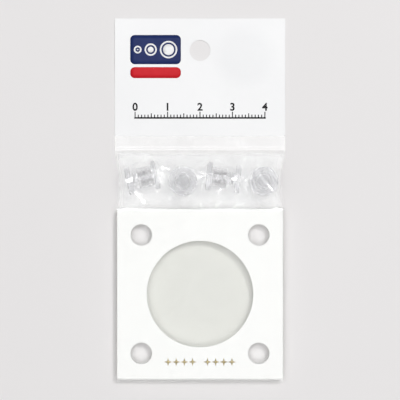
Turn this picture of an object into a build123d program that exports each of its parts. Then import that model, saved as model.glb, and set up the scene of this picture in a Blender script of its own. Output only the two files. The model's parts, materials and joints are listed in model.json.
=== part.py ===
"""Coin holder in its retail bag: a header bag, three holder plates and four post-and-screw fasteners.

The pack lies on its back. X runs across it, Y runs up it towards the header and Z comes out of its front.
The origin is the middle of its footprint, on the surface that it lies on. Sizes are millimetres and degrees.
"""

import os
from math import asin, atan2, copysign, cos, hypot, radians, sin, tan

from build123d import *

# Holder plates: a clear cover on each side of a white centre plate
plate_width = 50.8
plate_length = 52.2
plate_corner_radius = 0.5
plate_edge_break = 0.15
cover_thickness = 1.5
centre_thickness = 2.0
plate_gap = 0.05
coin_hole_diameter = 32.7
screw_hole_diameter = 6.6
screw_hole_spacing_x = 36.0
screw_hole_spacing_y = 36.3

# Fasteners: a threaded screw in a post whose barrel passes through the plates
barrel_clearance = 0.2
clamp_allowance = 0.4
head_diameter = 8.8
head_thickness = 1.6
head_edge_radius = 0.5
thread_diameter = 4.2
thread_pitch = 0.8
thread_clearance = 0.1
shank_length = 4.4
shank_tip_chamfer = 0.4
bore_end_clearance = 0.3
slot_width = 1.0
slot_depth = 0.7
spare_turns = 1

# Each fastener as it lies in the bag, left to right: how many turns the screw still stands out of its post,
# and the heading of its shank across the bag. No heading means that it stands on the screw's head.
fastener_poses = [(2.5, 13.0), (1.0, None), (3.25, 174.0), (0.75, None)]
fastener_gap = 1.5
fastener_stagger = 0.5
crown_share = 0.6
crown_slack = 0.45
rim_slack = 0.25

# Bag: two films sealed together below a stiffer header
film_thickness = 0.1
film_slack = 0.1
mouth_margin = 1.0
bay_length = 18.1
bay_draw_in = 0.6
bay_end_room = 0.87
bay_bevel = 1.0
bay_sag_height = 7.0
bay_hip_height = 3.0
bay_hip_inset = 3.0
bay_hip_length = 2.7
seal_length = 4.3
seal_slit = 0.05
header_width = 52.5
header_length = 36.3
hang_hole_diameter = 6.4
hang_hole_drop = 9.9

# Heights of the stack, from the surface up
back_cover_z = film_thickness + plate_gap
centre_plate_z = back_cover_z + cover_thickness + plate_gap
front_cover_z = centre_plate_z + centre_thickness + plate_gap
stack_top_z = front_cover_z + cover_thickness
stack_thickness = stack_top_z - back_cover_z

# Places along the bag, from the mouth up to the top of the header
pack_length = mouth_margin + plate_length + bay_length + seal_length + header_length
mouth_y = -pack_length / 2
plate_y = mouth_y + mouth_margin + plate_length / 2
bay_start_y = plate_y + plate_length / 2
bay_middle_y = bay_start_y + bay_length / 2
seal_y = bay_start_y + bay_length
header_y = seal_y + seal_length
top_y = header_y + header_length
hang_hole_y = top_y - hang_hole_drop

# Fastener sizes that follow from the plates and the thread
barrel_diameter = screw_hole_diameter - 2 * barrel_clearance
barrel_length = stack_thickness - clamp_allowance
bore_diameter = thread_diameter + 2 * thread_clearance
bore_depth = shank_length + bore_end_clearance


def fastener_length(turns):
    """Length of a screw and post over both heads, with those turns of the thread standing out of the post."""
    return 2 * head_thickness + barrel_length + turns * thread_pitch


def fastener_width(turns, heading):
    """Room that a fastener takes across the bag, at its longest."""
    if heading is None:
        return head_diameter
    length = fastener_length(turns + spare_turns)
    return length * abs(cos(radians(heading))) + head_diameter * abs(sin(radians(heading)))


def fastener_height(turns, heading):
    """Height that a fastener takes above the back film, at its longest."""
    if heading is None:
        return fastener_length(turns + spare_turns)
    return head_diameter


def crown_reach(turns, heading):
    """How far along the bag from its own middle a fastener holds the film up at full height."""
    if heading is None:
        return head_diameter / 2
    length = fastener_length(turns + spare_turns)
    return crown_share * head_diameter / 2 + length / 2 * abs(sin(radians(heading)))


# The row of fasteners, spread across the bay and set off to either side of its middle in turn
pouch_half_width = plate_width / 2 + film_slack + film_thickness
pouch_height = stack_top_z + plate_gap + film_thickness
seal_half_width = header_width / 2
fasteners_width = sum(fastener_width(*pose) for pose in fastener_poses)
gap_count = len(fastener_poses) - 1
spread_width = 2 * (pouch_half_width - bay_draw_in - film_slack - film_thickness - bay_end_room)
row_width = max(spread_width, fasteners_width + gap_count * fastener_gap)
row_gap = (row_width - fasteners_width) / gap_count
row_height = max(fastener_height(*pose) for pose in fastener_poses)
row_y = [bay_middle_y + fastener_stagger * (-1) ** place for place in range(len(fastener_poses))]

# The tent that the film makes over the row
bay_half_width = row_width / 2 + bay_end_room + film_slack + film_thickness
bay_height = film_thickness + plate_gap + row_height + film_slack + film_thickness
tent_start_y = min(y - crown_reach(*pose) for y, pose in zip(row_y, fastener_poses)) - film_slack
tent_end_y = max(y + crown_reach(*pose) for y, pose in zip(row_y, fastener_poses)) + film_slack
plate_bevel = film_slack
seal_bevel = film_thickness / 4
slit_bevel = seal_slit / 4
seal_end_x = bay_half_width - bay_hip_inset


def row_spans():
    """Left and right edge of each fastener's room in the row."""
    spans = []
    x = -row_width / 2
    for pose in fastener_poses:
        width = fastener_width(*pose)
        spans.append((x, x + width))
        x += width + row_gap
    return spans


def fastener_frames():
    """Frames of the fasteners: the shank runs along each frame's Z from the underside of the screw's head."""
    frames = []
    for (left, right), y, (turns, heading) in zip(row_spans(), row_y, fastener_poses):
        x = (left + right) / 2
        middle = fastener_length(turns) / 2 - head_thickness
        seat_z = film_thickness + plate_gap
        if heading is None:
            frames.append(Plane((x, y, seat_z + head_thickness)))
        else:
            shank = Vector(cos(radians(heading)), sin(radians(heading)), 0)
            centre = Vector(x, y, seat_z + head_diameter / 2)
            frames.append(Plane(centre - shank * middle, x_dir=(0, 0, 1), z_dir=shank))
    return frames


def holder_plate(thickness, height, coin_hole):
    """A plate with rounded corners, broken edges and a screw hole near each corner."""
    outline = RectangleRounded(plate_width, plate_length, plate_corner_radius)
    plate = extrude(outline, thickness)
    edges = plate.faces().sort_by(Axis.Z)[0].edges() + plate.faces().sort_by(Axis.Z)[-1].edges()
    plate = chamfer(edges, plate_edge_break)
    corners = GridLocations(screw_hole_spacing_x, screw_hole_spacing_y, 2, 2)
    holes = Sketch() + corners * Circle(screw_hole_diameter / 2)
    if coin_hole:
        holes += Circle(coin_hole_diameter / 2)
    plate -= extrude(holes, thickness)
    return Pos(0, plate_y, height) * plate


def fastener_head():
    """A flat head with a rounded outer rim, from its underside at Z 0 down."""
    radius = head_diameter / 2
    face_line = Polyline(
        (radius - head_edge_radius, -head_thickness),
        (0, -head_thickness),
        (0, 0),
        (radius, 0),
        (radius, head_edge_radius - head_thickness),
    )
    rim = CenterArc((radius - head_edge_radius, head_edge_radius - head_thickness), head_edge_radius, -90, 90)
    return revolve(Plane.XZ * make_face([face_line, rim]), Axis.Z)


def screw():
    """A slotted screw whose shank has the thread's outer diameter."""
    shank = extrude(Circle(thread_diameter / 2), shank_length)
    shank = chamfer(shank.edges().sort_by(Axis.Z)[-1], shank_tip_chamfer)
    slot = Pos(0, 0, slot_depth / 2 - head_thickness) * Box(head_diameter, slot_width, slot_depth)
    return fastener_head() + shank - slot


def post(turns):
    """A post with a blind bore, its open end that many turns of the thread away from the screw's head."""
    barrel = extrude(Circle(barrel_diameter / 2), barrel_length)
    body = barrel + Pos(0, 0, barrel_length) * Rot(180, 0, 0) * fastener_head()
    body -= extrude(Circle(bore_diameter / 2), bore_depth)
    return Pos(0, 0, turns * thread_pitch) * body


def lying_height(y, head_y, anchor):
    """Height of the film at a head that lies on its rim: over it, or on the slope from an anchor to it."""
    radius = head_diameter / 2
    middle_z = film_thickness + plate_gap + radius
    if anchor is None:
        return middle_z + radius + crown_slack + film_thickness
    anchor_y, anchor_z = anchor
    run = abs(head_y - anchor_y)
    climb = middle_z - anchor_z
    slope = atan2(climb, run) + asin((radius + rim_slack) / hypot(run, climb))
    return min(max(anchor_z + abs(y - anchor_y) * tan(slope), bay_sag_height), bay_height)


def tent_line(y, anchor):
    """Top of the tent across the bag, left to right: over the heads, or where it slopes off to an anchor."""
    line = []
    for (left, right), middle_y, (turns, heading) in zip(row_spans(), row_y, fastener_poses):
        if heading is None:
            inset = 0 if anchor is None else (1 - crown_share) * head_diameter / 2
            line += [(left + inset, bay_height), (right - inset, bay_height)]
        else:
            slant = radians(heading)
            lean = fastener_length(turns + spare_turns) / 2 * sin(slant) * copysign(1, cos(slant))
            left_z = lying_height(y, middle_y - lean, anchor)
            right_z = lying_height(y, middle_y + lean, anchor)
            loose_head = head_thickness + spare_turns * thread_pitch
            inset = loose_head * abs(cos(slant)) + head_diameter * abs(sin(slant))
            line += [(left, left_z), (left + inset, left_z), (right - inset, right_z), (right, right_z)]
    return line


def flat_line(end_x, top_z):
    """A level top with as many points as the tent's line, that ends on both sides at end_x."""
    inner = [(x, top_z) for x, z in tent_line(bay_middle_y, None)[1:-1]]
    return [(-end_x, top_z), *inner, (end_x, top_z)]


def pouch_section(y, half_width, base_z, side_z, top_line):
    """An upright section across the pouch: a flat base, straight sides up to side_z, and its top line."""
    left_side = [(-half_width, base_z), (-half_width, side_z)]
    right_side = [(half_width, side_z), (half_width, base_z)]
    section_plane = Plane((0, y, 0), x_dir=(1, 0, 0), z_dir=(0, -1, 0))
    return section_plane * make_face(Polyline(*left_side, *top_line, *right_side, close=True))


def lowered(top_line):
    """A top line one film thickness lower."""
    return [(x, z - film_thickness) for x, z in top_line]


def pouch_front_film():
    """The front film: close over the plates, a tent that follows the fasteners, and flat at the seal."""
    film = film_thickness
    seal_top_z = 2 * film
    rise = bay_height - pouch_height
    rise_run = tent_start_y - bay_start_y
    fall = bay_height - seal_top_z
    fall_run = seal_y - tent_end_y
    rise_shift = film * tan(atan2(rise, rise_run) / 2)
    fall_shift = film * tan(atan2(fall, fall_run) / 2)
    slit_y = seal_y - fall_shift - seal_slit * fall_run / fall
    plate_line = flat_line(pouch_half_width - plate_bevel, pouch_height)
    start_line = tent_line(tent_start_y, (bay_start_y, pouch_height))
    ridge_line = tent_line(bay_middle_y, None)
    end_line = tent_line(tent_end_y, (seal_y, seal_top_z))
    ridge_side_z = min(ridge_line[0][1], ridge_line[-1][1]) - bay_bevel
    plate_side_z = pouch_height - plate_bevel
    ridge_start_y = tent_start_y + bay_hip_length
    ridge_end_y = tent_end_y - bay_hip_length
    seal_line = flat_line(seal_end_x, seal_top_z)
    outside = loft(
        [
            pouch_section(mouth_y, pouch_half_width, film, plate_side_z, plate_line),
            pouch_section(bay_start_y, pouch_half_width, film, plate_side_z, plate_line),
            pouch_section(tent_start_y, bay_half_width, film, bay_hip_height, start_line),
            pouch_section(ridge_start_y, bay_half_width, film, ridge_side_z, ridge_line),
            pouch_section(ridge_end_y, bay_half_width, film, ridge_side_z, ridge_line),
            pouch_section(tent_end_y, bay_half_width, film, bay_hip_height, end_line),
            pouch_section(seal_y, seal_half_width, film, seal_top_z - seal_bevel, seal_line),
        ],
        ruled=True,
    )
    plate_room_x = pouch_half_width - film
    plate_room_z = plate_side_z - film
    plate_room = flat_line(plate_room_x - plate_bevel, pouch_height - film)
    bay_room_x = bay_half_width - film
    hip_room_z = bay_hip_height - film
    start_room = lowered(start_line)
    ridge_room = lowered(ridge_line)
    ridge_room_z = ridge_side_z - film
    end_room = lowered(end_line)
    slit_z = film + seal_slit
    slit_line = flat_line(seal_end_x, slit_z)
    inside = loft(
        [
            pouch_section(mouth_y - mouth_margin, plate_room_x, 0, plate_room_z, plate_room),
            pouch_section(bay_start_y + rise_shift, plate_room_x, 0, plate_room_z, plate_room),
            pouch_section(tent_start_y + rise_shift, bay_room_x, 0, hip_room_z, start_room),
            pouch_section(ridge_start_y, bay_room_x, 0, ridge_room_z, ridge_room),
            pouch_section(ridge_end_y, bay_room_x, 0, ridge_room_z, ridge_room),
            pouch_section(tent_end_y - fall_shift, bay_room_x, 0, hip_room_z, end_room),
            pouch_section(slit_y, seal_half_width - film, 0, slit_z - slit_bevel, slit_line),
        ],
        ruled=True,
    )
    seal = Box(header_width, seal_length, film, align=(Align.CENTER, Align.MIN, Align.MIN))
    return outside - inside + Pos(0, seal_y, film) * seal


def pouch_back_film():
    """The flat back film, as wide as the front film's foot all the way up."""
    right = [
        (pouch_half_width, mouth_y),
        (pouch_half_width, bay_start_y),
        (bay_half_width, tent_start_y),
        (bay_half_width, tent_end_y),
        (seal_half_width, seal_y),
        (seal_half_width, header_y),
    ]
    left = [(-x, y) for x, y in reversed(right)]
    return extrude(make_face(Polyline(*right, *left, close=True)), film_thickness)


def header_panel():
    """The header: both plies laminated into one panel, with the hang hole near its top."""
    outline = Pos(0, header_y + header_length / 2) * Rectangle(header_width, header_length)
    outline -= Pos(0, hang_hole_y) * Circle(hang_hole_diameter / 2)
    return extrude(outline, 2 * film_thickness)


def main():
    nodes = {
        "header_panel": header_panel(),
        "pouch_back_film": pouch_back_film(),
        "pouch_front_film": pouch_front_film(),
        "back_cover_plate": holder_plate(cover_thickness, back_cover_z, False),
        "centre_plate": holder_plate(centre_thickness, centre_plate_z, True),
        "front_cover_plate": holder_plate(cover_thickness, front_cover_z, False),
    }
    for number, frame in enumerate(fastener_frames(), 1):
        turns = fastener_poses[number - 1][0]
        nodes[f"screw_{number}"] = frame * screw()
        nodes[f"post_{number}"] = frame * post(turns)
    os.makedirs("parts", exist_ok=True)
    for name, solid in nodes.items():
        export_step(solid, f"parts/{name}.step")


main()
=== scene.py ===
import json
import math

import bmesh
import bpy
import numpy as np
from mathutils import Matrix, Vector
from mathutils.bvhtree import BVHTree


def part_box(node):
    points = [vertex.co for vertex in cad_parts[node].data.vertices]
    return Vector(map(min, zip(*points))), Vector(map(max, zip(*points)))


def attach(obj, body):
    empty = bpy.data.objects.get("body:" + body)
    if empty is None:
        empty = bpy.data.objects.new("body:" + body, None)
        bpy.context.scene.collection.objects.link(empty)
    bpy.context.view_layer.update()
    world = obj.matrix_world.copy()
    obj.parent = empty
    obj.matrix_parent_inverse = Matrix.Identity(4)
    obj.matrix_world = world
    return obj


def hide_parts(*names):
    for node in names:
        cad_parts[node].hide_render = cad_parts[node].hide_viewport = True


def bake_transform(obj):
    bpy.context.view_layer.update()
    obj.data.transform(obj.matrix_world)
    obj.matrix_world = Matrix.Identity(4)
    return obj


# The coin holder in its retail bag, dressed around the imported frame. X runs across the pack, Y up it towards
# the header and Z out of its front. Lengths here are millimetres, and MM turns them into metres.
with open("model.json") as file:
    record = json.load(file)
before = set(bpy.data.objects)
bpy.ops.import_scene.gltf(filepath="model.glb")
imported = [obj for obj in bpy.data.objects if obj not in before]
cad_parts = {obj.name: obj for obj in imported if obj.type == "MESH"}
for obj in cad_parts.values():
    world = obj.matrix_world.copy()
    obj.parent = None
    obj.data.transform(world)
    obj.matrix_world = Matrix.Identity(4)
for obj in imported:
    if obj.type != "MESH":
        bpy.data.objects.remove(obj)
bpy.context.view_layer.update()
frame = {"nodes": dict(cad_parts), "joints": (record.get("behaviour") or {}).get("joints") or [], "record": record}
MM = 0.001

# Framing: how much the picture spans at the height of the white plate, and how far off the camera stands
picture_width = 122.8
camera_distance = 900.0
sensor_width = 36.0

# Light: the key comes from the upper right, a small lamp above the header puts glints on the fasteners,
# and the sky is bright overhead, out to the soft light's reach, with a dimmer gap straight up, where a camera
# would stand. The reach and the gap's start and end are degrees from straight up. The lamps' distance and
# sizes, the floor's size and the camera's far end are metres.
lamp_distance = 1.0
key_direction = (0.33, 0.34, 0.88)
key_size = 0.15
key_power = 2.1
glint_direction = (0.04, 0.42, 0.9)
glint_size = 0.16
glint_power = 0.4
horizon_light = 0.2
zenith_light = 2.84
soft_light_reach = 42.0
gap_start = 5.0
gap_end = 11.0
gap_share = 0.34
floor_size = 4.0
floor_drop = 0.05
clear_layers = 32
camera_far_end = 100

# Film
film_skin = 0.05
film_clearance = 0.09
film_column = 0.36
film_row = 0.3
plate_row = 1.6
foot_height = 0.06
seal_height = 0.05
seal_lap = 0.4
bay_draw_in = 0.6
side_shoulder = 0.16
side_room = 0.2
seal_band = 4.3
seal_row_count = 15
side_steps = (0, 0.03, 0.09)
shoulder_drop = 0.3
weld_width = 0.3
weld_height = 0.07
crease_seed = 11
crease_count = 46
crease_half_span = 23
crease_margin = 2
crease_heading_spread = 0.7
crease_lengths = (4, 12)
crease_widths = (0.3, 0.6)
crease_rises = (0.12, 0.42)
crease_bends = (-0.03, 0.03)
back_columns = 24
relax_steps = 2600

# Haze of the film, as the share that it hides: on the plates, at their upper rim, just past it, over the bay
# and on the back film, and how far from the rim each one changes. The haze at the rim is painted light: a white
# line of film laid over the shade line along the plates' top edge.
film_white = (0.965, 0.971, 0.971)
film_ior = 2.0
plate_haze = 0.04
# Painted light: the film is made nearly white in a thin line at the plates' top edge, over the shade line there
rim_painted_light = 0.6
edge_haze = 0.12
bay_haze = 0.14
back_haze = 0.5
seal_haze_share = 0.1
edge_reach = 1.2
bay_start = 3.0
bay_end = 6.0
rim_start = 0.1
rim_end = 0.5
back_reach = 0.4
back_top = 0.09
back_fade_top = 0.12
seal_fade = 2

# Depth of the bumps in the materials, in metres
bump_depth = 0.0002
fine_bump_depth = 0.0001

# Tints of the clear plastic, and how much of the lamps' light each surface of a fastener lets on
clear_tint = (0.997, 1.0, 0.994)
back_tint = (0.958, 0.963, 0.946)
fastener_tint = (0.936, 0.936, 0.942)
fastener_shade = (0.83, 0.83, 0.84)

# Flat facets of the crumpled film that turn towards the key: middle x and y, length, width and heading
film_facets = [
    (-18.6, 1.3, 6.6, 1.3, -51),
    (-21.6, 6.0, 2.4, 1.7, 20),
    (-11.2, 9.9, 4.6, 0.6, -13),
    (0.9, 7.4, 3.8, 0.6, 0),
    (6.0, 2.9, 2.6, 0.7, 64),
    (-13.0, 8.1, 0.9, 0.8, 0),
    (10.6, 6.5, 1.8, 1.2, 0),
    (15.4, 6.4, 1.9, 0.5, 85),
    (21.5, 9.2, 2.4, 0.5, -40),
]
facet_tilt = 14.0
facet_edge = 0.25
facet_lift = 0.5

# Header sheet
sheet_thickness = 0.16
sheet_cell = 0.9
sheet_gap = 0.01
wave_rise = 9
slow_wave_height = 0.06
cross_wave_height = 0.035
hole_cut_low = -2
hole_cut_high = 4

# Fasteners, with the frame's own head, barrel and thread
screw_head_radius = 4.4
head_thickness = 1.6
head_round = 0.5
edge_break = 0.12
thread_radius = 2.1
thread_depth = 0.42
thread_pitch = 0.8
shank_length = 4.4
slot_width = 1.0
slot_depth = 0.7
barrel_radius = 3.1
barrel_length = 4.7
bore_radius = 2.2
bore_thread_depth = 0.34
bore_depth = 4.7
turn_steps = 72
rows_per_pitch = 14
travel_steps = 5
sharp_angle = 38

# Print on the header and foil on the white plate
ink_lift = 0.012
ink_thickness = 0.015
ink_cell = 1.5
badge_x = -13.7
badge_y = 44.2
badge_width = 15.6
badge_panel_height = 9.0
badge_stripe_height = 3.4
badge_gap = 0.9
badge_round = 1.4
badge_coin_radii = (1.2, 1.9, 2.7)
badge_coin_line = 0.5
badge_coin_gap = 0.9
scale_length = 40.0
scale_y = 25.3
scale_line = 0.5
numeral_height = 2.3
numeral_weight = 0.09
numeral_rise = 2.3
digit_share = 0.7
tick_share = 0.6
tick_heights = {10: 1.9, 5: 1.4, 1: 1.0}
foil_rise = 5.25
foil_radius = 1.28
foil_waist = 0.42
foil_pitch = 2.5
foil_group_gap = 2.1
foil_thickness = 0.015
foil_lift = 0.01
foil_group_size = 4


def box_mm(node):
    """Lowest and highest corner of a CAD node at rest, in millimetres."""
    low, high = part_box(node)
    return np.array(low) / MM, np.array(high) / MM


def smooth_step(value, start, end):
    """0 before start, 1 after end, with a smooth rise between."""
    t = np.clip((value - start) / (end - start), 0, 1)
    return t * t * (3 - 2 * t)


header_low, header_high = box_mm("header_panel")
film_low, film_high = box_mm("pouch_front_film")
white_low, white_high = box_mm("centre_plate")
front_low, front_high = box_mm("front_cover_plate")
fold_y = header_low[1]
plates_top_y = front_high[1]
pouch_half_width = front_high[0] + side_room
seal_half_width = film_high[0]
joints = {joint["name"]: joint for joint in frame["joints"]}
seal_y = fold_y - seal_band


# Materials

def node_material(name):
    """A new material, with its node tree and its Principled node."""
    material = bpy.data.materials.new(name)
    material.use_nodes = True
    return material, material.node_tree, material.node_tree.nodes["Principled BSDF"]


def coordinate(tree, output="Object"):
    return tree.nodes.new("ShaderNodeTexCoord").outputs[output]


def noise(tree, scale, detail=3.0, stretch=None):
    """A noise field over the object, with scale in cells per metre."""
    node = tree.nodes.new("ShaderNodeTexNoise")
    node.inputs["Scale"].default_value = scale
    node.inputs["Detail"].default_value = detail
    source = coordinate(tree)
    if stretch:
        mapping = tree.nodes.new("ShaderNodeMapping")
        mapping.inputs["Scale"].default_value = stretch
        tree.links.new(source, mapping.inputs["Vector"])
        source = mapping.outputs["Vector"]
    tree.links.new(source, node.inputs["Vector"])
    return node.outputs["Fac"]


def remap(tree, value, start, end, low, high):
    """value from start..end taken to low..high."""
    node = tree.nodes.new("ShaderNodeMapRange")
    for name, number in (("From Min", start), ("From Max", end), ("To Min", low), ("To Max", high)):
        node.inputs[name].default_value = number
    tree.links.new(value, node.inputs["Value"])
    return node.outputs["Result"]


def between(tree, value, low, high):
    """A colour that runs from low to high as value goes from 0 to 1."""
    node = tree.nodes.new("ShaderNodeMix")
    node.data_type = "RGBA"
    node.inputs["A"].default_value = (*low, 1)
    node.inputs["B"].default_value = (*high, 1)
    tree.links.new(value, node.inputs["Factor"])
    return node.outputs["Result"]


def calculate(tree, operation, first, second):
    """A math node on two sockets or numbers."""
    node = tree.nodes.new("ShaderNodeMath")
    node.operation = operation
    for socket, value in zip(node.inputs, (first, second)):
        if isinstance(value, (int, float)):
            socket.default_value = value
        else:
            tree.links.new(value, socket)
    return node.outputs["Value"]


def add_bump(tree, shader, height, strength, distance):
    node = tree.nodes.new("ShaderNodeBump")
    node.inputs["Strength"].default_value = strength
    node.inputs["Distance"].default_value = distance
    tree.links.new(height, node.inputs["Height"])
    tree.links.new(node.outputs["Normal"], shader.inputs["Normal"])


def lamp_rays(tree):
    """1 for the rays that carry light on to what lies behind a clear surface, and 0 for what is seen."""
    rays = tree.nodes.new("ShaderNodeLightPath")
    return calculate(tree, "MAXIMUM", rays.outputs["Is Shadow Ray"], rays.outputs["Is Diffuse Ray"])


def let_through(tree, shader, share, tint):
    """Mixes a shader with a clear one, by the share that passes straight through."""
    clear = tree.nodes.new("ShaderNodeBsdfTransparent")
    clear.inputs["Color"].default_value = (*tint, 1)
    mix = tree.nodes.new("ShaderNodeMixShader")
    tree.links.new(share, mix.inputs["Fac"])
    tree.links.new(shader.outputs["BSDF"], mix.inputs[1])
    tree.links.new(clear.outputs["BSDF"], mix.inputs[2])
    tree.links.new(mix.outputs["Shader"], tree.nodes["Material Output"].inputs["Surface"])


def clear_film():
    """Thin clear film: close to invisible where it is tight on the plates and hazy where it is slack."""
    material, tree, shader = node_material("clear_film")
    shader.inputs["Base Color"].default_value = (*film_white, 1)
    shader.inputs["IOR"].default_value = film_ior
    shader.inputs["Specular IOR Level"].default_value = 1.0
    shader.inputs["Coat Weight"].default_value = 1.0
    shader.inputs["Coat IOR"].default_value = film_ior
    shader.inputs["Coat Roughness"].default_value = 0.05
    cloud = noise(tree, 260, 4)
    tree.links.new(remap(tree, cloud, 0.3, 0.7, 0.14, 0.3), shader.inputs["Roughness"])
    add_bump(tree, shader, noise(tree, 900, 3, (1, 0.4, 1)), 0.25, bump_depth)
    place = tree.nodes.new("ShaderNodeSeparateXYZ")
    tree.links.new(coordinate(tree), place.inputs["Vector"])
    past_plates = calculate(tree, "SUBTRACT", place.outputs["Y"], plates_top_y * MM)
    slack = remap(tree, past_plates, 0, edge_reach * MM, plate_haze, edge_haze)
    eased = remap(tree, past_plates, bay_start * MM, bay_end * MM, 0, edge_haze - bay_haze)
    slack = calculate(tree, "SUBTRACT", slack, eased)
    # Painted light: a white line of film along the plates' top edge, covering the shade line at that edge
    from_rim = calculate(tree, "ABSOLUTE", past_plates, 0)
    rim = remap(tree, from_rim, rim_start * MM, rim_end * MM, rim_painted_light, 0)
    slack = calculate(tree, "MAXIMUM", slack, rim)
    at_back = remap(tree, place.outputs["Z"], back_top * MM, back_fade_top * MM, 1, 0)
    past_edge = remap(tree, past_plates, 0, back_reach * MM, 0, back_haze)
    bay_length = seal_y - plates_top_y
    before_seal = remap(tree, past_plates, (bay_length - seal_fade) * MM, bay_length * MM, 1, seal_haze_share)
    behind = calculate(tree, "MULTIPLY", at_back, calculate(tree, "MULTIPLY", past_edge, before_seal))
    slack = calculate(tree, "MAXIMUM", slack, behind)
    haze = calculate(tree, "MULTIPLY", slack, remap(tree, noise(tree, 120, 5), 0.3, 0.7, 0.8, 1.2))
    seen = calculate(tree, "SUBTRACT", 1, lamp_rays(tree))
    hidden = calculate(tree, "MULTIPLY", haze, seen)
    let_through(tree, shader, calculate(tree, "SUBTRACT", 1, hidden), (1, 1, 1))
    return material


def white_sheet():
    """White printed film of the header, with the faint clouds of its back ply."""
    material, tree, shader = node_material("header_film")
    distance = tree.nodes.new("ShaderNodeVectorMath")
    distance.operation = "DISTANCE"
    distance.inputs[1].default_value = (-badge_x * MM, badge_y * MM, 0)
    tree.links.new(coordinate(tree), distance.inputs[0])
    ghost = remap(tree, distance.outputs["Value"], 0.4 * badge_width * MM, 0.7 * badge_width * MM, 0.4, 0)
    cloud = calculate(tree, "SUBTRACT", noise(tree, 45, 4), ghost)
    colour = between(tree, cloud, (0.828, 0.83, 0.84), (0.917, 0.918, 0.922))
    tree.links.new(colour, shader.inputs["Base Color"])
    tree.links.new(remap(tree, noise(tree, 400, 3), 0.3, 0.7, 0.28, 0.42), shader.inputs["Roughness"])
    shader.inputs["Coat Weight"].default_value = 0.4
    shader.inputs["Coat Roughness"].default_value = 0.15
    add_bump(tree, shader, noise(tree, 700, 3), 0.12, bump_depth)
    return material


def white_acrylic():
    """White plastic of the centre plate, with a gloss."""
    material, tree, shader = node_material("white_acrylic")
    cloud = noise(tree, 90, 4)
    colour = between(tree, cloud, (0.962, 0.958, 0.955), (0.976, 0.972, 0.969))
    tree.links.new(colour, shader.inputs["Base Color"])
    tree.links.new(remap(tree, noise(tree, 1500, 2), 0.3, 0.7, 0.12, 0.22), shader.inputs["Roughness"])
    add_bump(tree, shader, noise(tree, 300, 2), 0.03, bump_depth)
    return material


def clear_plastic(name, tint, shade, roughness, ripple):
    """Clear solid plastic: it bends the view, and dims the lamps by its shade on what lies under it."""
    material, tree, shader = node_material(name)
    shader.inputs["Base Color"].default_value = (*tint, 1)
    shader.inputs["Transmission Weight"].default_value = 1.0
    shader.inputs["IOR"].default_value = 1.49
    rough = remap(tree, noise(tree, 800, 3), 0.35, 0.75, roughness, 3 * roughness)
    tree.links.new(rough, shader.inputs["Roughness"])
    add_bump(tree, shader, noise(tree, 350, 2), ripple, bump_depth)
    let_through(tree, shader, lamp_rays(tree), shade)
    return material


def ink(name, low, high):
    """Printing ink, a little uneven, with a faint gloss."""
    material, tree, shader = node_material(name)
    shader.inputs["Specular IOR Level"].default_value = 0.12
    tree.links.new(between(tree, noise(tree, 600, 5), low, high), shader.inputs["Base Color"])
    tree.links.new(remap(tree, noise(tree, 900, 2), 0.3, 0.7, 0.3, 0.45), shader.inputs["Roughness"])
    add_bump(tree, shader, noise(tree, 1500, 2), 0.1, fine_bump_depth)
    return material


def gold_foil():
    material, tree, shader = node_material("gold_foil")
    grain = noise(tree, 2500, 4)
    tree.links.new(between(tree, grain, (0.52, 0.38, 0.1), (0.78, 0.62, 0.26)), shader.inputs["Base Color"])
    shader.inputs["Metallic"].default_value = 1.0
    tree.links.new(remap(tree, grain, 0.3, 0.7, 0.25, 0.5), shader.inputs["Roughness"])
    add_bump(tree, shader, grain, 0.3, fine_bump_depth)
    return material


def floor_paper():
    material, tree, shader = node_material("floor_paper")
    colour = between(tree, noise(tree, 30, 2), (0.792, 0.776, 0.776), (0.804, 0.788, 0.788))
    tree.links.new(colour, shader.inputs["Base Color"])
    shader.inputs["Roughness"].default_value = 0.9
    shader.inputs["Specular IOR Level"].default_value = 0.1
    return material


# Mesh helpers

def make_object(name, points, faces, material):
    """A smooth-shaded mesh object from points in millimetres."""
    mesh = bpy.data.meshes.new(name)
    mesh.from_pydata((np.asarray(points, float) * MM).tolist(), [], faces)
    mesh.materials.append(material)
    finish_mesh(mesh)
    piece = bpy.data.objects.new(name, mesh)
    bpy.context.scene.collection.objects.link(piece)
    return piece


def finish_mesh(mesh):
    """Welds double points, turns the faces outwards and keeps the sharp edges sharp."""
    work = bmesh.new()
    work.from_mesh(mesh)
    bmesh.ops.remove_doubles(work, verts=work.verts, dist=1e-7)
    bmesh.ops.dissolve_degenerate(work, edges=work.edges, dist=1e-8)
    bmesh.ops.recalc_face_normals(work, faces=work.faces)
    work.to_mesh(mesh)
    work.free()
    mesh.shade_smooth()
    mesh.set_sharp_from_angle(angle=math.radians(sharp_angle))


def bake(piece):
    """Puts the result of a piece's modifiers into its mesh."""
    evaluated = piece.evaluated_get(bpy.context.evaluated_depsgraph_get())
    mesh = bpy.data.meshes.new_from_object(evaluated)
    piece.modifiers.clear()
    piece.data = mesh
    finish_mesh(mesh)


def cut_away(piece, cutter):
    """Takes the cutter's shape out of a piece."""
    modifier = piece.modifiers.new("cut", "BOOLEAN")
    modifier.operation = "DIFFERENCE"
    modifier.solver = "EXACT"
    modifier.object = cutter
    bpy.context.view_layer.update()
    bake(piece)
    bpy.data.objects.remove(cutter)


def thicken(piece, thickness, offset):
    modifier = piece.modifiers.new("thickness", "SOLIDIFY")
    modifier.thickness = thickness * MM
    modifier.offset = offset


def grid_faces(rows, columns, first=0, wrap=False):
    """Quads of a grid whose points are listed row by row."""
    faces = []
    for row in range(rows - 1):
        for column in range(columns if wrap else columns - 1):
            after = (column + 1) % columns
            a = first + row * columns
            b = a + columns
            faces.append((a + column, a + after, b + after, b + column))
    return faces


# Fasteners

def thread_height(angle, z):
    """Share of the thread's depth at an angle and height, for a right-hand thread with rounded flanks."""
    phase = (z / thread_pitch - angle / (2 * math.pi)) % 1.0
    return smooth_step(np.abs(2 * phase - 1), 0.2, 0.8)


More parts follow.
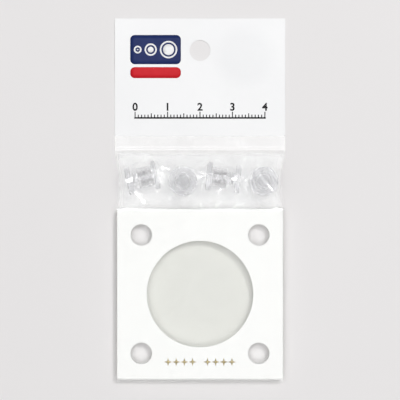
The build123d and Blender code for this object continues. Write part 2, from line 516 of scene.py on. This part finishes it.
def turned_shape(name, rings, material):
    """A turned piece from its rings of (radius or radii round the turn, height)."""
    angle = np.linspace(0, 2 * math.pi, turn_steps, endpoint=False)
    points = []
    for radius, z in rings:
        radius = np.broadcast_to(radius, angle.shape)
        level = np.full(turn_steps, z)
        points.append(np.stack([radius * np.cos(angle), radius * np.sin(angle), level], axis=1))
    faces = grid_faces(len(rings), turn_steps, wrap=True)
    return make_object(name, np.concatenate(points), faces, material)


def head_rim(outer_z, underside_z):
    """Rings of a head from the middle of its outer face, round its rim, to the edge of its underside."""
    away = math.copysign(1, outer_z - underside_z)
    rings = [(0, outer_z), (screw_head_radius - head_round, outer_z)]
    for step in range(1, 7):
        turn = math.radians(15 * step)
        radius = screw_head_radius - head_round * (1 - math.sin(turn))
        rings.append((radius, outer_z - away * head_round * (1 - math.cos(turn))))
    rings.append((screw_head_radius, underside_z + away * edge_break))
    rings.append((screw_head_radius - edge_break, underside_z))
    return rings


def screw_shape(material):
    """A slotted screw with a rolled thread, along Z from the underside of its head."""
    angle = np.linspace(0, 2 * math.pi, turn_steps, endpoint=False)
    rings = head_rim(-head_thickness, 0)
    core = thread_radius - thread_depth
    rows = int(shank_length / thread_pitch * rows_per_pitch)
    for z in np.linspace(0, shank_length, rows + 1):
        fade = smooth_step(z, 0.1, 0.6) * (1 - smooth_step(z, shank_length - 0.55, shank_length))
        rings.append((core + thread_depth * fade * thread_height(angle, z), z))
    rings.append((0, shank_length))
    screw = turned_shape("screw_shape", rings, material)
    reach = screw_head_radius + 1
    corners = []
    for z in (-head_thickness - 1, slot_depth - head_thickness):
        for x, y in ((-1, -1), (1, -1), (1, 1), (-1, 1)):
            corners.append((x * reach, y * slot_width / 2, z))
    sides = [(0, 3, 2, 1), (4, 5, 6, 7), (0, 1, 5, 4), (1, 2, 6, 5), (2, 3, 7, 6), (3, 0, 4, 7)]
    cut_away(screw, make_object("slot_cutter", corners, sides, material))
    return screw


def post_shape(material):
    """A post with a threaded bore, along Z from its open end to its head."""
    angle = np.linspace(0, 2 * math.pi, turn_steps, endpoint=False)
    rings = [(0, bore_depth)]
    rows = int(bore_depth / thread_pitch * rows_per_pitch)
    for z in np.linspace(bore_depth, 0, rows + 1):
        fade = smooth_step(z, 0.1, 0.5) * (1 - smooth_step(z, bore_depth - 0.6, bore_depth - 0.2))
        mouth = bore_thread_depth * (1 - smooth_step(z, 0, 0.35))
        rings.append((bore_radius + mouth + bore_thread_depth * fade * (1 - thread_height(angle, z)), z))
    rings += [
        (barrel_radius - edge_break, 0),
        (barrel_radius, edge_break),
        (barrel_radius, barrel_length),
    ]
    rings += reversed(head_rim(barrel_length + head_thickness, barrel_length))
    return turned_shape("post_shape", rings, material)


def along_axis(node, origin, axis):
    """Lowest place of a CAD node's points along an axis from an origin, in millimetres."""
    vertices = frame["nodes"][node].data.vertices
    return min((vertex.co - origin).dot(axis) for vertex in vertices) / MM


def add_fasteners(material):
    """A detailed screw and post in place of each pair in the frame."""
    screw_mesh = screw_shape(material)
    post_mesh = post_shape(material)
    number = 1
    while f"screw_{number}_turn" in joints:
        joint = joints[f"screw_{number}_turn"]
        origin = Vector(joint["pos_m"])
        axis = Vector(joint["axis"])
        side = Vector((1, 0, 0)) if abs(axis.z) > 0.9 else Vector((0, 0, 1))
        turn = Matrix((side, axis.cross(side), axis)).transposed().to_4x4()
        for kind, shape in (("screw", screw_mesh), ("post", post_mesh)):
            node = f"{kind}_{number}"
            rise = along_axis(node, origin, axis) if kind == "post" else 0
            piece = bpy.data.objects.new(f"clear_{node}", shape.data)
            bpy.context.scene.collection.objects.link(piece)
            piece.matrix_world = Matrix.Translation(origin + axis * rise * MM) @ turn
            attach(piece, node)
            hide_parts(node)
        number += 1
    bpy.data.objects.remove(screw_mesh)
    bpy.data.objects.remove(post_mesh)


# Bag film

def half_width(y):
    """Half the bag's width at a place along it: snug on the plates, drawn in at the bay, full at the seal."""
    bay_middle = (plates_top_y + seal_y) / 2
    drawn = bay_draw_in * smooth_step(y, plates_top_y, bay_middle)
    spread = (seal_half_width - pouch_half_width + bay_draw_in) * smooth_step(y, bay_middle, seal_y)
    return pouch_half_width - drawn + spread


def contents_tree():
    """The plates and fasteners as one shape, with each post all along its travel."""
    points = []
    faces = []
    for name, node in frame["nodes"].items():
        if name.startswith(("pouch", "header")):
            continue
        shifts = [Vector((0, 0, 0))]
        if name.startswith("post"):
            travel = joints[f"{name}_travel"]
            places = np.linspace(*travel["range_m"], travel_steps)
            shifts += [Vector(travel["axis"]) * float(place) for place in places]
        for shift in shifts:
            first = len(points)
            points += [vertex.co + shift for vertex in node.data.vertices]
            faces += [[first + index for index in polygon.vertices] for polygon in node.data.polygons]
    return BVHTree.FromPolygons(points, faces)


def contents_height(tree, x, y):
    """Height of the contents under a point, or nothing's height where the bag is empty."""
    hit = tree.ray_cast(Vector((x * MM, y * MM, 1)), Vector((0, 0, -1)))[0]
    return hit.z / MM if hit else 0.0


def spread_heights(heights):
    """Heights of a grid, each raised to the highest of its neighbours, so that the film clears every rim."""
    rows, columns = heights.shape
    padded = np.pad(heights, 1, mode="edge")
    shifted = [padded[row : row + rows, column : column + columns] for row, column in np.ndindex(3, 3)]
    return np.max(shifted, axis=0)


def film_creases(x, y):
    """Heights of the sharp creases that run from the fasteners to the seal and the plates."""
    rng = np.random.default_rng(crease_seed)
    height = np.zeros_like(x)
    for _ in range(crease_count):
        start_x = rng.uniform(-crease_half_span, crease_half_span)
        start_y = rng.uniform(plates_top_y + crease_margin, seal_y - crease_margin)
        heading = rng.normal(math.pi / 2, crease_heading_spread)
        length = rng.uniform(*crease_lengths)
        width = rng.uniform(*crease_widths)
        rise = rng.uniform(*crease_rises)
        bend = rng.uniform(*crease_bends)
        along = (x - start_x) * math.cos(heading) + (y - start_y) * math.sin(heading)
        across = (y - start_y) * math.cos(heading) - (x - start_x) * math.sin(heading) - bend * along**2
        taper = np.clip(1 - (along / length) ** 2, 0, 1)
        height += rise * taper * np.exp(-((across / width) ** 2))
    return height


def film_with_facets(x, y, height, low):
    """The film with its flat facets, each above low and turned so that it mirrors the key straight up."""
    towards = np.array(key_direction[:2]) / math.hypot(*key_direction[:2])
    fall = math.tan(math.radians(facet_tilt))
    for middle_x, middle_y, length, width, heading in film_facets:
        turn = math.radians(heading)
        along = (x - middle_x) * math.cos(turn) + (y - middle_y) * math.sin(turn)
        across = (y - middle_y) * math.cos(turn) - (x - middle_x) * math.sin(turn)
        share = 1 - smooth_step(np.abs(along), length / 2, length / 2 + facet_edge)
        share *= 1 - smooth_step(np.abs(across), width / 2, width / 2 + facet_edge)
        drop = fall * ((x - middle_x) * towards[0] + (y - middle_y) * towards[1])
        level = (share * height).sum() / share.sum()
        level += np.clip((low + drop)[share > 0.5].max() - level, 0, facet_lift)
        height = height + share * (level - drop - height)
    return height


def relaxed_film(low, fixed, dx, dy):
    """The tight film over its contents: the lowest smooth surface above low that keeps its fixed edges."""
    height = np.where(np.isnan(fixed), low, fixed)
    held = ~np.isnan(fixed)
    share = dy**2 / (2 * (dx**2 + dy**2))
    for _ in range(relax_steps):
        middle = share * (height[1:-1, :-2] + height[1:-1, 2:])
        middle += (0.5 - share) * (height[:-2, 1:-1] + height[2:, 1:-1])
        free = np.maximum(low[1:-1, 1:-1], middle)
        height[1:-1, 1:-1] = np.where(held[1:-1, 1:-1], height[1:-1, 1:-1], free)
    return height


def add_bag(material):
    """The bag: a front film over its contents and a flat back film, joined at the sides and the seal."""
    inner = pouch_half_width - side_shoulder
    count = int(round(2 * inner / film_column)) + 1
    shares = np.linspace(-inner, inner, count)
    edge = pouch_half_width - np.array(side_steps)
    shares = np.concatenate([-edge, shares, edge[::-1]]) / pouch_half_width
    plate_rows = np.linspace(film_low[1], plates_top_y, int((plates_top_y - film_low[1]) / plate_row) + 1)
    bay_rows = np.linspace(plates_top_y, seal_y, int((seal_y - plates_top_y) / film_row) + 1)[1:]
    seal_rows = np.linspace(seal_y, fold_y + seal_lap, seal_row_count)[1:]
    rows = np.concatenate([plate_rows, bay_rows, seal_rows])
    y = np.repeat(rows[:, None], len(shares), axis=1)
    x = shares[None, :] * half_width(y)

    foot_z = film_low[2] + foot_height
    top_z = front_high[2] + film_clearance
    profile = np.full(len(shares), top_z)
    profile[:3] = (foot_z, 0.5 * (foot_z + top_z), top_z - shoulder_drop)
    profile[-3:] = profile[2::-1]
    tree = contents_tree()
    low = np.zeros_like(x)
    for index in np.ndindex(x.shape):
        low[index] = contents_height(tree, x[index], y[index]) + film_clearance
    low = spread_heights(low)
    fixed = np.full(x.shape, np.nan)
    fixed[: len(plate_rows)] = profile
    fixed[:, 0] = foot_z
    fixed[:, -1] = foot_z
    fixed[-len(seal_rows) - 1 :] = film_low[2] + seal_height
    height = relaxed_film(low, fixed, film_column, film_row)

    free = smooth_step(y, plates_top_y, plates_top_y + 2.5) * (1 - smooth_step(y, seal_y - 1.5, seal_y))
    free *= smooth_step(1 - np.abs(shares)[None, :], 0, 0.06)
    height += free * film_creases(x, y)
    height = np.clip(film_with_facets(x, y, height, low), low, film_high[2])
    weld = np.exp(-(((y - seal_y - 2 * weld_width) / weld_width) ** 2))
    height += weld_height * weld * smooth_step(1 - np.abs(shares)[None, :], 0, 0.03)

    front = np.stack([x, y, height], axis=-1).reshape(-1, 3)
    faces = grid_faces(len(rows), len(shares))
    back_shares = np.linspace(-1, 1, back_columns)
    back_y = np.repeat(rows[:, None], back_columns, axis=1)
    back_x = back_shares[None, :] * half_width(back_y)
    back_z = np.full(back_x.shape, film_skin)
    back_z[:, 0] = foot_z
    back_z[:, -1] = foot_z
    back = np.stack([back_x, back_y, back_z], axis=-1).reshape(-1, 3)
    faces += [face[::-1] for face in grid_faces(len(rows), back_columns, first=len(front))]
    bag = make_object("pouch_film", np.concatenate([front, back]), faces, material)
    thicken(bag, film_skin, 0)
    bake(bag)
    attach(bag, "pouch")
    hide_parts("pouch_front_film", "pouch_back_film")


# Header and its print

def sheet_wave(x, y):
    """Height of the header's underside, which lifts a little off the surface in slow waves."""
    rise = smooth_step(y, fold_y, fold_y + wave_rise)
    slow = 1 + np.sin(0.17 * x + 0.12 * y + 0.4)
    cross = 1 + np.sin(0.31 * x - 0.23 * y + 1.9)
    return rise * (slow_wave_height * slow + cross_wave_height * cross)


def hang_hole():
    """Centre and radius of the hang hole, from the record's mount."""
    mount = next(mount for mount in frame["record"]["mounts"] if mount["name"] == "hang_hole")
    return mount["pos_m"][0] / MM, mount["pos_m"][1] / MM, mount["dims"]["r_mm"]


def add_header(material):
    """The header sheet with its hang hole."""
    width = header_high[0] - header_low[0]
    length = header_high[1] - header_low[1]
    columns = int(width / sheet_cell) + 1
    rows = int(length / sheet_cell) + 1
    x, y = np.meshgrid(
        np.linspace(header_low[0], header_high[0], columns), np.linspace(header_low[1], header_high[1], rows)
    )
    points = np.stack([x, y, sheet_wave(x, y) + sheet_thickness / 2 + sheet_gap], axis=-1).reshape(-1, 3)
    sheet = make_object("header_sheet", points, grid_faces(rows, columns), material)
    thicken(sheet, sheet_thickness, 0)
    bake(sheet)
    hole_x, hole_y, radius = hang_hole()
    rings = [(0, hole_cut_low), (radius, hole_cut_low), (radius, hole_cut_high), (0, hole_cut_high)]
    cutter = turned_shape("hole_cutter", rings, material)
    cutter.data.transform(Matrix.Translation(Vector((hole_x, hole_y, 0)) * MM))
    cut_away(sheet, cutter)
    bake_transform(sheet)
    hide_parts("header_panel")


def rectangle(x, y, width, height, round_radius=0.0, steps=6):
    """Outline of a rectangle about a point, with round corners where a radius is given."""
    outline = []
    for quarter, (sx, sy) in enumerate(((1, 1), (-1, 1), (-1, -1), (1, -1))):
        corner = (x + sx * (width / 2 - round_radius), y + sy * (height / 2 - round_radius))
        for step in range(steps + 1 if round_radius else 1):
            turn = math.pi / 2 * (quarter + step / steps)
            reach_x = round_radius * math.cos(turn)
            reach_y = round_radius * math.sin(turn)
            outline.append((corner[0] + reach_x, corner[1] + reach_y))
    return outline


def ring(x, y, radius, line, steps=48):
    """Quads of a ring about a point."""
    quads = []
    for step in range(steps):
        turns = [2 * math.pi * (step + part) / steps for part in (0, 1)]
        outer = [(x + radius * math.cos(t), y + radius * math.sin(t)) for t in turns]
        inner = [(x + (radius - line) * math.cos(t), y + (radius - line) * math.sin(t)) for t in turns]
        quads.append([outer[0], outer[1], inner[1], inner[0]])
    return quads


def numeral(text, x, y):
    """Outlines of a plain numeral that stands on a point."""
    curve = bpy.data.curves.new("numeral", "FONT")
    curve.body = text
    curve.size = numeral_height / digit_share
    curve.align_x = "CENTER"
    curve.offset = numeral_weight
    writing = bpy.data.objects.new("numeral", curve)
    bpy.context.scene.collection.objects.link(writing)
    bpy.context.view_layer.update()
    mesh = bpy.data.meshes.new_from_object(writing.evaluated_get(bpy.context.evaluated_depsgraph_get()))
    outlines = []
    for polygon in mesh.polygons:
        outlines.append([(mesh.vertices[i].co.x + x, mesh.vertices[i].co.y + y) for i in polygon.vertices])
    bpy.data.objects.remove(writing)
    bpy.data.curves.remove(curve)
    bpy.data.meshes.remove(mesh)
    return outlines


def add_print(name, outlines, material, lift):
    """Ink on the header: flat shapes cut into small faces, so that they follow the sheet's waves."""
    points = [(*point, 0.0) for outline in outlines for point in outline]
    faces = []
    for outline in outlines:
        first = sum(len(face) for face in faces)
        faces.append(list(range(first, first + len(outline))))
    piece = make_object(name, points, faces, material)
    work = bmesh.new()
    work.from_mesh(piece.data)
    for axis in (0, 1):
        places = [vertex.co[axis] / MM for vertex in work.verts]
        for place in np.arange(min(places) + ink_cell, max(places), ink_cell):
            normal = Vector((1, 0, 0)) if axis == 0 else Vector((0, 1, 0))
            everything = work.verts[:] + work.edges[:] + work.faces[:]
            cut = normal * float(place) * MM
            bmesh.ops.bisect_plane(work, geom=everything, plane_co=cut, plane_no=normal)
    for vertex in work.verts:
        x, y = vertex.co.x / MM, vertex.co.y / MM
        vertex.co.z = (float(sheet_wave(x, y)) + sheet_thickness + sheet_gap + lift) * MM
    for face in work.faces:
        if face.normal.z < 0:
            face.normal_flip()
    work.to_mesh(piece.data)
    work.free()
    thicken(piece, ink_thickness, 1)
    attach(piece, "header")


def add_header_print():
    """A plain badge of three coins over a stripe, and a printed scale in centimetres."""
    navy = ink("navy_ink", (0.012, 0.022, 0.10), (0.02, 0.035, 0.14))
    red = ink("red_ink", (0.55, 0.012, 0.02), (0.66, 0.02, 0.03))
    white = ink("white_ink", (0.86, 0.86, 0.87), (0.93, 0.93, 0.94))
    black = ink("black_ink", (0.008, 0.008, 0.01), (0.02, 0.02, 0.022))
    total = badge_panel_height + badge_gap + badge_stripe_height
    panel_y = badge_y + (total - badge_panel_height) / 2
    stripe_y = badge_y - (total - badge_stripe_height) / 2
    panel = rectangle(badge_x, panel_y, badge_width, badge_panel_height, badge_round)
    stripe = rectangle(badge_x, stripe_y, badge_width, badge_stripe_height, badge_round)
    add_print("print_navy", [panel], navy, ink_lift)
    add_print("print_red", [stripe], red, ink_lift)
    coins = []
    x = badge_x - sum(badge_coin_radii) - badge_coin_gap
    for radius in badge_coin_radii:
        coins += ring(x + radius, panel_y, radius, badge_coin_line)
        coins += ring(x + radius, panel_y, radius - 2 * badge_coin_line, radius - 2 * badge_coin_line)
        x += 2 * radius + badge_coin_gap
    add_print("print_white", coins, white, ink_lift + ink_thickness)
    marks = [rectangle(0, scale_y, scale_length + scale_line, scale_line)]
    for tick in range(int(scale_length) + 1):
        height = next(height for step, height in tick_heights.items() if tick % step == 0)
        x = tick - scale_length / 2
        marks.append(rectangle(x, scale_y + height / 2, scale_line * tick_share, height))
    for ten in range(int(scale_length) // 10 + 1):
        marks += numeral(str(ten), 10 * ten - scale_length / 2, scale_y + numeral_rise)
    add_print("print_black", marks, black, ink_lift)


# Plates

def add_foil():
    """Two short rows of gold-foil stars on the white plate, below the coin's place."""
    material = gold_foil()
    z = white_high[2] + foil_lift
    y = white_low[1] + foil_rise
    points = []
    faces = []
    steps = [foil_group_gap / 2 + foil_pitch * (n + 0.5) for n in range(foil_group_size)]
    for x in [group * step for group in (-1, 1) for step in steps]:
        first = len(points)
        for corner in range(8):
            turn = math.pi / 4 * corner
            radius = foil_waist if corner % 2 else foil_radius
            points.append((x + radius * math.cos(turn), y + radius * math.sin(turn), z))
        faces.append(list(range(first, first + 8)))
    piece = make_object("foil_stars", points, faces, material)
    thicken(piece, foil_thickness, 1)
    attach(piece, "centre_plate")


def dress_plates():
    """Materials for the plates, whose solids stay as they are."""
    for node, material in (
        ("centre_plate", white_acrylic()),
        ("front_cover_plate", clear_plastic("clear_acrylic", clear_tint, clear_tint, 0.012, 0.02)),
        ("back_cover_plate", clear_plastic("green_acrylic", back_tint, back_tint, 0.012, 0.02)),
    ):
        data = frame["nodes"][node].data
        data.materials.clear()
        data.materials.append(material)


# Stage

def add_lamp(name, direction, size, power):
    """A round lamp that shines on the pack from a direction."""
    light = bpy.data.lights.new(name, "AREA")
    light.shape = "DISK"
    light.size = size
    light.energy = power
    lamp = bpy.data.objects.new(name, light)
    bpy.context.scene.collection.objects.link(lamp)
    towards = Vector(direction).normalized()
    lamp.location = towards * lamp_distance
    lamp.rotation_mode = "QUATERNION"
    lamp.rotation_quaternion = (-towards).to_track_quat("-Z", "Y")


def add_stage():
    """A plain pale floor, two lamps, a sky that is bright overhead and a camera straight above the pack."""
    half = floor_size / MM / 2
    signs = ((-1, -1), (1, -1), (1, 1), (-1, 1))
    corners = [(x * half, y * half, -floor_drop) for x, y in signs]
    floor = make_object("floor", corners, [(0, 1, 2, 3)], floor_paper())

    add_lamp("key", key_direction, key_size, key_power)
    add_lamp("glint", glint_direction, glint_size, glint_power)

    world = bpy.data.worlds.new("sky")
    bpy.context.scene.world = world
    world.use_nodes = True
    tree = world.node_tree
    place = tree.nodes.new("ShaderNodeSeparateXYZ")
    tree.links.new(coordinate(tree, "Generated"), place.inputs["Vector"])
    soft_light_edge = math.cos(math.radians(soft_light_reach))
    strength = remap(tree, place.outputs["Z"], soft_light_edge, 1, horizon_light, zenith_light)
    gap_edges = [math.cos(math.radians(angle)) for angle in (gap_end, gap_start)]
    gap = remap(tree, place.outputs["Z"], *gap_edges, 1, gap_share)
    strength = calculate(tree, "MULTIPLY", strength, gap)
    tree.links.new(strength, tree.nodes["Background"].inputs["Strength"])
    tree.nodes["Background"].inputs["Color"].default_value = (1, 1, 1, 1)

    camera_data = bpy.data.cameras.new("camera")
    camera_data.sensor_width = sensor_width
    camera_data.lens = sensor_width * camera_distance / picture_width
    camera_data.clip_end = camera_far_end
    camera = bpy.data.objects.new("camera", camera_data)
    bpy.context.scene.collection.objects.link(camera)
    camera.location = (0, 0, (white_high[2] + camera_distance) * MM)
    bpy.context.scene.camera = camera
    bpy.context.scene.view_settings.view_transform = "Standard"
    cycles = bpy.context.scene.cycles
    cycles.transparent_max_bounces = clear_layers
    cycles.max_bounces = clear_layers
    cycles.glossy_bounces = clear_layers
    cycles.transmission_bounces = clear_layers


add_stage()
dress_plates()
add_foil()
add_fasteners(clear_plastic("clear_fastener", fastener_tint, fastener_shade, 0.006, 0.03))
add_bag(clear_film())
add_header(white_sheet())
add_header_print()
